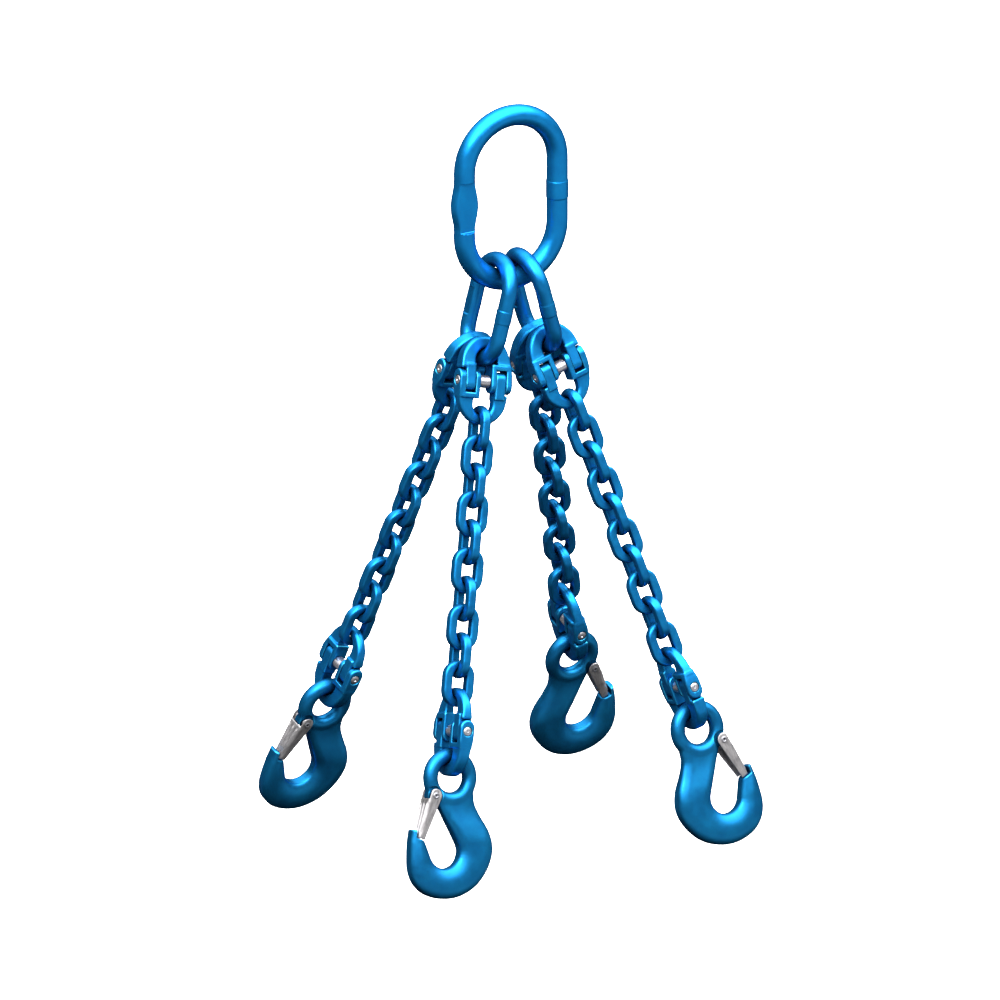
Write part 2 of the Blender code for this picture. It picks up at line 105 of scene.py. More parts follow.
# Couplings, in a half's own frame: X along the pin, Z up to the bow, the pin at the origin.
HALF_SPAN = 31.5
PRONG_INNER = 6.5  # the fork's inner face
WINDOW = (12.0, 24.3)  # the gap between the fork's two prongs
TONGUE = (12.3, 24.0)
KNUCKLE_RADIUS = 8.5
KNUCKLE_CENTRE = -3.5
KNUCKLE_SLACK = 0.8  # how much thinner the tongue is than the fork
WEB = (12.5, 18.5)  # from the top of the window to the top of the fork
LEG_START = 0.5  # the legs start this far above the web's lower side
BORE_RADIUS = 5.3
LOAD_BOW = {
    "inner_radius": 12.6, "crown": 35.0, "top": 48.3, "power": 2.4, "thick": 7.0, "shoulder": 30.6,
    "corner": 3.8,
}
CHAIN_BOW = {
    "inner_radius": 11.8, "crown": 35.3, "top": 45.9, "power": 2.3, "thick": 5.3, "shoulder": 28.6,
    "corner": 4.7,
}
LEG_CORNER = 2.6
SHOULDER_EDGE, FORK_EDGE, WINDOW_EDGE, TONGUE_EDGE, BORE_EDGE = 4, 1.9, 0.9, 1.6, 0.6  # radii
FORK_FILLET = 0.9
LEG_TAPER = (0, 24)  # a leg's thickness changes to the bow's between these heights
CORNER_RISE = (22, 42)  # and its corners' radius between these
FORK_FADE = ((24, 31), (3, WEB[1]))  # the fork runs into its leg over these -x and z
PIN_RADIUS = 5.0
SLEEVE_RADIUS = 6.7
SLEEVE_SWEEP = 346  # degrees: the rest is its slit
SLIT_TURN = math.radians(150)

# Hook, in its own plane: u to its open side, v down the leg, from the eye's centre.
EYE_RADIUS = 15.3
EYE_BAR = 16
EYE_ARC = {"radius": 20, "turn": (15, 150)}  # the outline closes along it, inside the eye's bar
SEAT = (1.0, 78.5, 17.9)  # centre and radius of the bowl
BOWL_TURN = (205, 30)  # where its arc starts and ends, in degrees from u
HOOK_BACK = (
    (43.2, 72), (42.4, 86), (40.3, 101), (33.8, 114.3), (22.4, 123.7), (8, 128.0), (-8, 128.0),
    (-24, 123.1), (-38.8, 112.8), (-49.5, 98.4), (-55.3, 82.7), (-55.7, 67.7), (-49.3, 51.8),
    (-38.5, 37.6), (-30.5, 25), (-27.5, 12), (-20, 2),
)
HOOK_FRONT = ((18, 12), (16.5, 22), (13.0, 30), (6.6, 39.2), (-0.4, 49), (-7.4, 58.9), (-13.2, 67.5))
HOOK_TIP = ((26.3, 69.0), (29.0, 60.0), (30.0, 50.0), (42.0, 50.0))
TIP_TOP = 58.4
LAND = ((26.3, 69.0), (36.9, 66.8))  # the step in the tip that the latch closes on
LAND_WALL, LAND_CORNER = 37.4, 1.2
STEP_REACH = (22, 45)  # the step and the tip's end are cut only past this u and v
NECK_EDGE, BOWL_EDGE, LIP_EDGE = 9.5, 16.0, 6.0  # how far the rounded edges reach in
NECK_THICK, BOWL_THICK, LIP_THICK = 7.2, 11.0, 8.6  # half thicknesses
THICK_RANGE, EDGE_RANGE = (26, 66), (45, 95)  # the v between which neck turns into bowl
LIP_RANGE = ((8, 22), (64, 88))  # the u and v between which bowl turns into lip
EDGE_DROP = 0.7  # the most of the half thickness that a rounded edge takes
CUT_RADIUS = 1.3  # of the edges that the step and the tip's end leave
LATCH_PIVOT = (20.3, 20.5)
POCKET_RADIUS, POCKET_FLOOR = 9.4, 5.6
POCKET_EDGE, POCKET_CORNER = 1.5, 0.6
BOSS_RADIUS, BOSS_INSET, BOSS_EDGE, BOSS_FILLET = 6.4, 0.4, 0.8, 2.5
EYE_FILLET = 1.5
PIN_HOLE, PIN_HOLE_EDGE = 2.9, 0.4

# Latch, from its pivot.
LATCH_LENGTH = 48
LATCH_LEAN = math.radians(13.4)
LATCH_WIDTH = (7.4, 4.6)
LATCH_SPAN = (10.9, 6.4)
LATCH_SHEET = 1.4
LATCH_WEB_START = 5
LATCH_WEB_INSET = 0.6
LATCH_FOLD, LATCH_INNER_FOLD = 3.2, 1.8  # blends of the fold between the web and a cheek
LATCH_TRIM, LATCH_RIM = 1.2, 1.0  # blends of its cut ends and of its sheet's rims
LATCH_HOLE, LATCH_HOLE_EDGE = 2.7, 0.3
RIB_RISE, RIB_START, RIB_END = 0.85, (8, 13), (41, 46)

# Camera: where it looks from, and the point at the middle of its view. Its lengths are in metres.
AZIMUTH, ELEVATION = math.radians(-30), math.radians(19.8)
VIEW_SHIFT = (-0.0114, -0.320)  # from the master link's centre, to the right and up
VIEW_SIZE = 1.056
CAMERA_DISTANCE = 4

# Light from the sky, by the sine of the height above the horizon.
SKY = (
    (-1.0, 0.02), (-0.76, 0.05), (-0.6, 0.16), (-0.48, 0.45), (-0.36, 0.88), (-0.26, 0.80), (-0.1, 0.42),
    (0.1, 0.26), (0.24, 0.30), (0.36, 0.80), (0.48, 2.6), (0.58, 5.2), (0.8, 6.8), (1.0, 7.2),
)
SKY_STRENGTH = max(light for _, light in SKY)
SKY_FRONT = (0.09, -0.90, 0.43)  # the side that the light mostly comes from
SKY_FACING = (-0.3, 0.6)  # how far a direction faces that side, from the darkest to the brightest
SKY_BACK_SHARE = 0.3  # how bright the opposite side is beside it

# The key lamp: metres and watts.
KEY_PLACE, KEY_TARGET, KEY_SIZE, KEY_POWER = (-1.5, -1.3, 1.6), (0, 0, -0.4), (1.1, 1.1), 34

# Finishes: a paint's colour, its darker patches, and its worn edges, which are partly wear and partly a
# painted highlight along the edges.
# The pieces share one blue paint. Each kind's copy here is lighter or darker by how light falls on it,
# as painted light and shade.
PAINTS = {
    "master_link_paint": ((0.0085, 0.260, 0.64), (0.007, 0.210, 0.56), (0.04, 0.40, 0.72)),
    "intermediate_link_paint": ((0.0085, 0.215, 0.52), (0.007, 0.165, 0.44), (0.04, 0.36, 0.70)),
    "coupling_paint": ((0.0100, 0.250, 0.58), (0.008, 0.190, 0.50), (0.07, 0.62, 0.88)),
    "chain_paint": ((0.0095, 0.215, 0.50), (0.007, 0.160, 0.42), (0.06, 0.55, 0.84)),
    "hook_paint": ((0.0075, 0.172, 0.385), (0.006, 0.134, 0.33), (0.04, 0.38, 0.68)),
}
RECESS_REACH, RECESS_SHADE = 16, (0.002, 0.020, 0.070)  # painted shade: the paint darkens where pieces nearly meet
EDGE_TINT = (0.05, 0.16, 0.32, 1)  # the paint turns dark where it is seen at a glancing angle

# A steel's colour, its dull patches, its roughness, and how its lines are squeezed along X, Y, Z.
STEELS = {
    "load_pin_steel": ((0.60, 0.60, 0.64), (0.44, 0.44, 0.48), 0.28, (1, 8, 8)),
    "latch_steel": ((0.48, 0.465, 0.47), (0.27, 0.26, 0.27), 0.45, (9, 9, 1)),
    "latch_pin_steel": ((0.40, 0.40, 0.43), (0.26, 0.26, 0.29), 0.30, (1, 8, 8)),
}

# Which finish each shape takes.
SLOTS = {
    "master": "master_link_paint",
    "intermediate": "intermediate_link_paint",
    "chain_link": "chain_paint",
    "load_half": "coupling_paint",
    "chain_half": "coupling_paint",
    "pin": "load_pin_steel",
    "sleeve": "load_pin_steel",
    "hook": "hook_paint",
    "latch": "latch_steel",
    "latch_pin": "latch_pin_steel",
    "spring": "latch_steel",
}


# ---------------------------------------------------------------- meshes


def finished(name, points, faces):
    """A smooth shaded mesh from points in millimetres."""
    mesh = bpy.data.meshes.new(name)
    places = [tuple(point) for point in np.asarray(points, float) * MM]
    mesh.from_pydata(places, [], [list(map(int, face)) for face in faces])
    mesh.shade_smooth()
    mesh.set_sharp_from_angle(angle=SHARP)
    return mesh


def evaluated(name, thing):
    """The mesh that a curve object makes. The object is removed."""
    bpy.context.scene.collection.objects.link(thing)
    graph = bpy.context.evaluated_depsgraph_get()
    mesh = bpy.data.meshes.new_from_object(thing.evaluated_get(graph))
    bpy.data.objects.remove(thing, do_unlink=True)
    mesh.name = name
    return mesh


def between(start, end, share):
    return start + (end - start) * share


def smooth_min(a, b, blend):
    """The union of two distances, with a fillet of about blend millimetres."""
    share = np.clip(0.5 + 0.5 * (b - a) / blend, 0, 1)
    return b + (a - b) * share - blend * share * (1 - share)


def smooth_max(a, b, blend):
    return -smooth_min(-a, -b, blend)


def rounded(first, second, radius):
    """Where two shapes overlap, with a round edge of that radius."""
    a, b = first + radius, second + radius
    return np.hypot(np.maximum(a, 0), np.maximum(b, 0)) + np.minimum(np.maximum(a, b), 0) - radius


def band(value, start, end):
    """Distance from the band between two values."""
    return np.abs(value - (start + end) / 2) - (end - start) / 2


def smooth_step(value, start, end):
    share = np.clip((value - start) / (end - start), 0, 1)
    return share * share * (3 - 2 * share)


def surface_net(value, low, step):
    """Points and faces of where a grid of distances changes sign, with a point in each cell."""
    size = value.shape
    cells = [n - 1 for n in size]
    count = int(np.prod(cells))
    weight, place, quads = np.zeros(count), np.zeros((count, 3)), []
    for axis in range(3):
        near = np.take(value, range(size[axis] - 1), axis)
        far = np.take(value, range(1, size[axis]), axis)
        at = np.argwhere((near < 0) != (far < 0))
        a, b = near[tuple(at.T)], far[tuple(at.T)]
        crossing = at.astype(float)
        crossing[:, axis] += a / (a - b)
        second, third = (axis + 1) % 3, (axis + 2) % 3
        ring = []
        for back in ((0, 0), (1, 0), (1, 1), (0, 1)):
            cell = at.copy()
            cell[:, second] -= back[0]
            cell[:, third] -= back[1]
            index = (cell[:, 0] * cells[1] + cell[:, 1]) * cells[2] + cell[:, 2]
            weight += np.bincount(index, minlength=count)
            for k in range(3):
                place[:, k] += np.bincount(index, crossing[:, k], minlength=count)
            ring.append(index)
        ring = np.stack(ring, 1)
        inward = a >= 0
        ring[inward] = ring[inward][:, ::-1]
        quads.append(ring)
    used = weight > 0
    points = np.array(low) + step * place[used] / weight[used, None]
    number = np.cumsum(used) - 1
    return points, number[np.concatenate(quads)]


def drawn_onto(distance, points, step):
    """Points moved along the distance's slope until they lie on the shape."""
    nudge = 0.02
    for _ in range(4):
        here = distance(*points.T)
        slope = np.stack([
            (distance(*(points + nudge * unit).T) - distance(*(points - nudge * unit).T)) / (2 * nudge)
            for unit in np.eye(3)
        ], 1)
        move = -here / np.maximum((slope**2).sum(1), 0.25)
        points = points + np.clip(move[:, None] * slope, -step / 2, step / 2)
    return points


def forged(name, distance, low, high, step):
    """A closed mesh of where distance(x, y, z) is zero, from a grid of that step."""
    ticks = [np.arange(a, b + step, step) for a, b in zip(low, high)]
    size = [len(t) for t in ticks]
    value = np.broadcast_to(distance(*np.meshgrid(*ticks, indexing="ij", sparse=True)), size)
    points, faces = surface_net(value, low, step)
    mesh = finished(name, drawn_onto(distance, points, step), faces)
    mesh.shade_smooth()
    return mesh


def lathe(name, profile, steps=48, sweep=360):
    """(x, radius) points turned round X. A sweep under 360 leaves a slit, and ends in faces."""
    whole = sweep >= 360
    turns = steps if whole else steps + 1
    points, faces = [], []
    for turn in range(turns):
        angle = math.radians(sweep) * turn / steps
        points += [(x, r * math.cos(angle), r * math.sin(angle)) for x, r in profile]
    size = len(profile)
    for turn in range(steps):
        a, b = turn * size, (turn + 1) % turns * size
        for k in range(size if profile[0][1] else size - 1):
            after = (k + 1) % size
            faces.append((a + k, a + after, b + after, b + k))
    if not whole:
        faces += [list(range(size))[::-1], [steps * size + k for k in range(size)]]
    mesh = finished(name, points, faces)
    work = bmesh.new()
    work.from_mesh(mesh)
    bmesh.ops.remove_doubles(work, verts=work.verts, dist=0.001 * MM)
    bmesh.ops.recalc_face_normals(work, faces=work.faces)
    work.to_mesh(mesh)
    work.free()
    mesh.shade_smooth()
    mesh.set_sharp_from_angle(angle=TURNED_SHARP)
    return mesh


def oblong_link(name, bar, inner, right, left, turns, sides, section):
    """A closed link in the XZ plane. right and left are the stations along its straight bars,
    turns the steps round a bow, and sides the steps round the bar.

    section(side, along, angles) gives how far out in the plane, and along Y, the skin is.
    side is 1 on the right bar, -1 on the left one and 0 round the bows.
    """
    radius = (inner[0] + bar) / 2
    straight = (inner[1] - inner[0]) / 2
    stations = [((radius, s), (1, 0), 1, s) for s in right]
    bows = ((straight, 0), (-straight, math.pi))
    for (height, start), bars in zip(bows, (left[::-1], ())):
        for turn in range(1, turns):
            angle = start + math.pi * turn / turns
            out = (math.cos(angle), math.sin(angle))
            stations.append(((radius * out[0], height + radius * out[1]), out, 0, turn / turns))
        stations += [((-radius, s), (-1, 0), -1, s) for s in bars]
    angles = np.linspace(0, 2 * np.pi, sides, endpoint=False)
    points = []
    for (x, z), (out_x, out_z), side, along in stations:
        out, across = section(side, along, angles)
        points += list(zip(x + out * out_x, across, z + out * out_z))
    faces = []
    for row in range(len(stations)):
        here, there = row * sides, (row + 1) % len(stations) * sides
        for k in range(sides):
            after = (k + 1) % sides
            faces.append((here + k, here + after, there + after, there + k))
    mesh = finished(name, points, faces)
    mesh.flip_normals()
    return mesh


def stations_along(half, spacing, edges):
    """Stations from -half to half, with close ones on both sides of each edge."""
    marks = list(np.linspace(-half, half, int(2 * half / spacing) + 1))
    for edge in edges:
        marks += [sign * (edge + shift) for sign in (-1, 1) for shift in EDGE_STATIONS]
    return sorted(round(float(m), 3) for m in marks)


# ---------------------------------------------------------------- links


def pressed_link(name, link, flat, collar, flat_side, turns, sides):
    """Round bar with a raised weld collar on one side and a pressed flat on the other."""
    radius = link["bar"] / 2
    half = (link["inner"][1] - link["inner"][0]) / 2

    def section(side, along, angles):
        out, across = radius * np.cos(angles), radius * np.sin(angles)
        if side == -flat_side:
            end = collar["half_length"]
            rise = collar["rise"] * (1 - smooth_step(abs(along), end - SHOULDER, end + SHOULDER))
            return out * (1 + rise / radius), across * (1 + rise / radius)
        if side == flat_side:
            away = min(abs(along) / flat["bulge_reach"], 1)
            bulge = flat["bulge"] * math.cos(math.pi / 2 * away) ** BULGE_POWER
            end = flat["half_length"]
            cut = smooth_step(abs(along), end - SHOULDER, end + SHOULDER)
            limit = between(flat["half_thickness"], radius, cut)
            return out * (1 + bulge / radius), np.clip(across, -limit, limit)
        return out, across

    plain = stations_along(half, 2.5, [collar["half_length"]])
    pressed = stations_along(half, 0.9, [flat["half_length"]])
    right, left = (pressed, plain) if flat_side > 0 else (plain, pressed)
    return oblong_link(name, link["bar"], link["inner"], right, left, turns, sides, section)


def chain_link():
    """Short link of squared wire. Its corners are rounder at the bows, where links bear."""
    half = (CHAIN["inner"][1] - CHAIN["inner"][0]) / 2
    marks = list(np.linspace(-half, half, 7))

    def section(side, along, angles):
        bow = math.sin(math.pi * along) if side == 0 else 0
        crown = smooth_step(bow, *CHAIN_CROWN)
        power = between(*CHAIN_POWER, crown)
        size = between(*CHAIN_HALF_WIRE, crown)
        c, s = np.cos(angles), np.sin(angles)
        reach = size / (np.abs(c) ** power + np.abs(s) ** power) ** (1 / power)
        return reach * c, reach * s

    return oblong_link("chain_link", CHAIN["bar"], CHAIN["inner"], marks, marks, 22, 40, section)


# ---------------------------------------------------------------- couplings


def dome(x, z, half_width, height, power):
    """Distance from a dome with upright walls below it, along the line from the pin."""
    above = np.maximum(z, 0)
    reach = np.hypot(x, above) + 1e-6
    size = ((np.abs(x) / half_width) ** power + (above / height) ** power) ** (1 / power)
    return reach * (1 - 1 / (size + 1e-6))


def coupling_half(name, bow):
    """Bow, fork at -X and tongue at +X in one forging, bored for the pin."""
    centre = bow["crown"] - bow["inner_radius"]
    web_low, web_high = WEB

    def distance(x, y, z):
        # The bow with its two legs.
        inner = np.hypot(x, np.maximum(z - centre, 0)) - bow["inner_radius"]
        outer = dome(x, z, HALF_SPAN, bow["top"], bow["power"])
        thick = between(KNUCKLE_RADIUS, bow["thick"], smooth_step(z, *LEG_TAPER))
        corner = between(LEG_CORNER, bow["corner"], smooth_step(z, *CORNER_RISE))
        sides = rounded(outer, x - bow["shoulder"], SHOULDER_EDGE)
        legs = rounded(np.maximum(sides, -inner), web_low + LEG_START - z, LEG_CORNER)
        arch = rounded(legs, np.abs(y) - thick, corner)

        # The fork, rounded below about a knuckle's centre.
        below = np.minimum(z - KNUCKLE_CENTRE, 0)
        fade = smooth_step(-x, *FORK_FADE[0]) * smooth_step(z, *FORK_FADE[1])
        fork_thick = between(KNUCKLE_RADIUS, thick, fade)
        plan = np.maximum(np.maximum(outer, x + PRONG_INNER), z - web_high)
        fork = rounded(plan, np.hypot(y, below) - fork_thick, FORK_EDGE)
        window = np.maximum(band(-x, *WINDOW), z - web_low)
        fork = rounded(fork, -window, WINDOW_EDGE)

        # The tongue, which another half's window takes.
        plan = np.maximum(band(x, *TONGUE), z - web_high)
        tongue = rounded(plan, np.hypot(y, below) - KNUCKLE_RADIUS + KNUCKLE_SLACK, TONGUE_EDGE)
        body = smooth_min(smooth_min(arch, fork, FORK_FILLET), tongue, FORK_FILLET)
        return rounded(body, BORE_RADIUS - np.hypot(y, z), BORE_EDGE)

    bottom = KNUCKLE_CENTRE - KNUCKLE_RADIUS
    low = (-HALF_SPAN - MARGIN, -KNUCKLE_RADIUS - MARGIN, bottom - MARGIN)
    high = (HALF_SPAN + MARGIN, KNUCKLE_RADIUS + MARGIN, bow["top"] + MARGIN)
    return forged(name, distance, low, high, COUPLING_GRID)


def load_pin():
    """Ground pin with chamfered ends and a centre mark at each end."""
    end, radius = HALF_SPAN - 0.2, PIN_RADIUS
    half = [
        (end - 0.9, 0), (end - 0.7, 1.0), (end, 1.5), (end, radius - 1.1),
        (end - 0.4, radius - 0.5), (end - 1.2, radius),
    ]
    return lathe("load_pin", [(-x, r) for x, r in half] + half[::-1])


def sleeve():
    """Split retaining sleeve with chamfered ends, which holds the pin in."""
    end, radius = PRONG_INNER - 0.35, SLEEVE_RADIUS
    outer = [(-end, radius - 0.8), (-end + 0.9, radius), (end - 0.9, radius), (end, radius - 0.8)]
    inner = [(end, PIN_RADIUS + 0.12), (-end, PIN_RADIUS + 0.12)]
    return lathe("sleeve", outer + inner, steps=56, sweep=SLEEVE_SWEEP)


# ---------------------------------------------------------------- hook


def curve_through(points, steps):
    """A smooth open curve through points, as Catmull and Rom's spline."""
    points = np.array(points, float)
    padded = np.vstack([2 * points[0] - points[1], points, 2 * points[-1] - points[-2]])
    found = []
    for k in range(1, len(padded) - 2):
        p0, p1, p2, p3 = padded[k - 1:k + 3]
        for t in np.linspace(0, 1, steps, endpoint=False):
            bend = (2 * p0 - 5 * p1 + 4 * p2 - p3) * t**2 + (3 * p1 - p0 - 3 * p2 + p3) * t**3
            found.append(0.5 * (2 * p1 + (p2 - p0) * t + bend))
    return found + [points[-1]]


def hook_outline():
    """The hook's outline below its eye, once round."""
    centre_u, centre_v, radius = SEAT
    bowl = []
    for angle in np.radians(np.linspace(*BOWL_TURN, 19)):
        bowl.append((centre_u + radius * math.cos(angle), centre_v + radius * math.sin(angle)))
    across_eye = []
    for angle in np.radians(np.linspace(*EYE_ARC["turn"], 10)):
        across_eye.append((-EYE_ARC["radius"] * math.cos(angle), EYE_ARC["radius"] * math.sin(angle)))
    front = curve_through([*HOOK_FRONT, bowl[0]], 4)
    return np.array([*front[:-1], *bowl, *HOOK_TIP, *curve_through(HOOK_BACK, 5), *across_eye])


def outline_distance(u, v, loop):
    """Distance in the plane from a closed outline, negative inside."""
    near, inside = np.inf, False
    for (u0, v0), (u1, v1) in zip(loop, np.roll(loop, -1, 0)):
        du, dv = u1 - u0, v1 - v0
        share = np.clip(((u - u0) * du + (v - v0) * dv) / max(du * du + dv * dv, 1e-9), 0, 1)
        near = np.minimum(near, (u - u0 - share * du) ** 2 + (v - v0 - share * dv) ** 2)
        if v0 != v1:
            inside = inside ^ (((v0 > v) != (v1 > v)) & (u < du * (v - v0) / dv + u0))
    return np.where(inside, -1, 1) * np.sqrt(near)


def near_tip(u, v):
    """Negative where the tip's cuts may reach."""
    return np.maximum(STEP_REACH[0] - u, STEP_REACH[1] - v)


def step_cut(u, v):
    """Negative in the step that is cut into the hook's tip for the latch's end."""
    (u0, v0), (u1, v1) = LAND
    above = ((v - v0) * (u1 - u0) - (u - u0) * (v1 - v0)) / math.hypot(u1 - u0, v1 - v0)
    return np.maximum(rounded(above, u - LAND_WALL, LAND_CORNER), near_tip(u, v))


def end_cut(u, v):
    """Negative past the flat end of the hook's tip."""
    return np.maximum(v - TIP_TOP, near_tip(u, v))


def hook():
    """Eye, neck, bowl and tip in one forging, with the latch's pocket and bore."""
    loop = hook_outline()

    def distance(x, y, z):
        v = -z
        depth = -outline_distance(x, v, loop)
        lip = smooth_step(x, *LIP_RANGE[0]) * (1 - smooth_step(v, *LIP_RANGE[1]))
        thick = between(NECK_THICK, BOWL_THICK, smooth_step(v, *THICK_RANGE))
        thick = between(thick, LIP_THICK, lip)
        edge = between(NECK_EDGE, BOWL_EDGE, smooth_step(v, *EDGE_RANGE))
        edge = between(edge, LIP_EDGE, lip)
        drop = np.minimum(EDGE_DROP * thick, edge)
        inward = np.maximum(edge - depth, 0) / edge
        sideways = np.maximum(np.abs(y) - thick + drop, 0) / drop
        body = (np.hypot(inward, sideways) - 1) * drop
        body = rounded(rounded(body, -step_cut(x, v), CUT_RADIUS), -end_cut(x, v), CUT_RADIUS)
        eye = np.hypot(np.hypot(x, v) - EYE_RADIUS - EYE_BAR / 2, y) - EYE_BAR / 2
        whole = smooth_min(body, eye, EYE_FILLET)
        around = np.hypot(x - LATCH_PIVOT[0], v - LATCH_PIVOT[1])
        boss = rounded(around - BOSS_RADIUS, np.abs(y) - POCKET_FLOOR + BOSS_INSET, BOSS_EDGE)
        whole = smooth_min(whole, boss, BOSS_FILLET)
        pocket = rounded(around - POCKET_RADIUS, POCKET_FLOOR - np.abs(y), POCKET_CORNER)
        whole = rounded(whole, -pocket, POCKET_EDGE)
        return rounded(whole, PIN_HOLE - around, PIN_HOLE_EDGE)

    half_thick = BOWL_THICK + MARGIN
    low = (-58.5, -half_thick, -130.5)
    high = (45.5, half_thick, EYE_RADIUS + EYE_BAR + MARGIN)
    return forged("hook", distance, low, high, HOOK_GRID)


# ---------------------------------------------------------------- latch


def latch():
    """Folded channel with pressed ribs along its web, bored at its cheeks' round end."""

    def distance(x, y, z):
        down = -z
        share = np.clip(down / LATCH_LENGTH, 0, 1)
        width = between(*LATCH_WIDTH, share)
        span = between(*LATCH_SPAN, share)
        ribs = smooth_step(down, *RIB_START) * (1 - smooth_step(down, *RIB_END))
        lift = RIB_RISE * ribs * np.cos(y * (3 * math.pi) / span)
        cheeks, web = np.abs(y) - span, x - width - lift + LATCH_WEB_INSET
        outer = smooth_max(cheeks, web, LATCH_FOLD)
        hollow = smooth_max(cheeks + LATCH_SHEET, web + LATCH_SHEET, LATCH_INNER_FOLD)
        opened = smooth_max(cheeks + LATCH_SHEET, down - LATCH_WEB_START, LATCH_RIM)
        hollow = np.minimum(hollow, opened)
        head = np.hypot(x, np.maximum(-down, 0)) - LATCH_WIDTH[0]
        outer = smooth_max(outer, np.where(down < 0, head, -x - width), LATCH_TRIM)
        outer = smooth_max(outer, down - LATCH_LENGTH, LATCH_TRIM)
        shell = smooth_max(outer, -hollow, LATCH_RIM)
        return smooth_max(shell, LATCH_HOLE - np.hypot(x, down), LATCH_HOLE_EDGE)

    low = (-LATCH_WIDTH[0] - 1, -LATCH_SPAN[0] - 1, -LATCH_LENGTH - 1)
    high = (LATCH_WIDTH[0] + 1, LATCH_SPAN[0] + 1, LATCH_WIDTH[0] + 1)
    return forged("latch", distance, low, high, LATCH_GRID)


def latch_pin():
    """Hollow rivet with a rolled head at both ends."""
    end = LATCH_SPAN[0] + 0.7
    half = [
        (end - 3, 0), (end - 2.7, 1.3), (end - 0.3, 1.5), (end, 2.0), (end - 0.1, 2.9),
        (end - 0.5, 3.4), (end - 0.65, 2.55),
    ]
    return lathe("latch_pin", [(-x, r) for x, r in half] + half[::-1], steps=40)


def latch_spring():
    """Double torsion spring: a coil beside each cheek and a bridge that bears on the web."""
    wire, radius, turns = 1.0, 3.7, 2.5
    start, end = POCKET_FLOOR + 0.8, LATCH_SPAN[0] - LATCH_SHEET - 0.8
    side = []
    for share in np.linspace(0, 1, 45):
        angle = 2 * math.pi * turns * share - math.pi / 2
        along = between(start, end, share)
        side.append((radius * math.cos(angle), along, radius * math.sin(angle)))
    leg = [(-4.8, start, -10.5)]
    bridge = [(3.4, end - 0.2, -6.0), (3.2, end - 1.2, -17), (2.9, end - 3.2, -19.5)]
    half = leg + side + bridge
    points = half + [(x, -y, z) for x, y, z in half[::-1]]
    curve = bpy.data.curves.new("latch_spring", "CURVE")
    curve.dimensions = "3D"
    curve.bevel_depth = wire / 2 * MM
    curve.bevel_resolution = 3
    curve.use_fill_caps = True
    spline = curve.splines.new("POLY")
    spline.points.add(len(points) - 1)
    for slot, point in zip(spline.points, points):
        slot.co = (*(c * MM for c in point), 1)
    mesh = evaluated("latch_spring", bpy.data.objects.new("latch_spring", curve))
    mesh.shade_smooth()
    return mesh


# ---------------------------------------------------------------- materials


MIX_COLOUR_INPUTS, MIX_COLOUR_OUTPUT = (6, 7), 2  # a Mix node has a set of sockets for each type


class Nodes:
    """A material's node tree, with short ways to add to it."""

    def __init__(self, name):
        self.material = bpy.data.materials.new(name)
        self.material.use_nodes = True
        self.tree = self.material.node_tree
        self.shader = self.tree.nodes["Principled BSDF"]
        self.place = self.add("ShaderNodeTexCoord").outputs["Object"]

    def add(self, kind, **inputs):
        node = self.tree.nodes.new(kind)
        for name, value in inputs.items():
            self.set(node.inputs[name.replace("_", " ")], value)
        return node

    def set(self, socket, value):
        if isinstance(value, bpy.types.NodeSocket):
            self.tree.links.new(value, socket)
        else:
            socket.default_value = value

    def noise(self, scale, detail=3.0, rough=0.5, stretch=None):
        place = self.place
        if stretch:
            mapping = self.add("ShaderNodeMapping", Vector=place, Scale=stretch)
            place = mapping.outputs["Vector"]
        settings = {"Scale": scale, "Detail": detail, "Roughness": rough}
        return self.add("ShaderNodeTexNoise", Vector=place, **settings).outputs["Fac"]

    def ramp(self, value, low, high, start, end):
        """value carried over from the range low to high to the range start to end."""
        given = {"Value": value, "From_Min": low, "From_Max": high, "To_Min": start, "To_Max": end}
        return self.add("ShaderNodeMapRange", **given).outputs["Result"]

    def mix(self, share, first, second):
        """A colour between two. Each is a tuple of three or a socket."""
        node = self.tree.nodes.new("ShaderNodeMix")
        node.data_type = "RGBA"
        self.set(node.inputs["Factor"], share)
        for number, colour in zip(MIX_COLOUR_INPUTS, (first, second)):
            self.set(node.inputs[number], (*colour, 1) if isinstance(colour, tuple) else colour)
        return node.outputs[MIX_COLOUR_OUTPUT]

    def math(self, operation, first, second):
        node = self.tree.nodes.new("ShaderNodeMath")
        node.operation = operation
        self.set(node.inputs[0], first)
        self.set(node.inputs[1], second)
        return node.outputs[0]

    def bump(self, height, strength, distance):
        node = self.add("ShaderNodeBump", Strength=strength, Distance=distance, Height=height)
        self.set(self.shader.inputs["Normal"], node.outputs["Normal"])


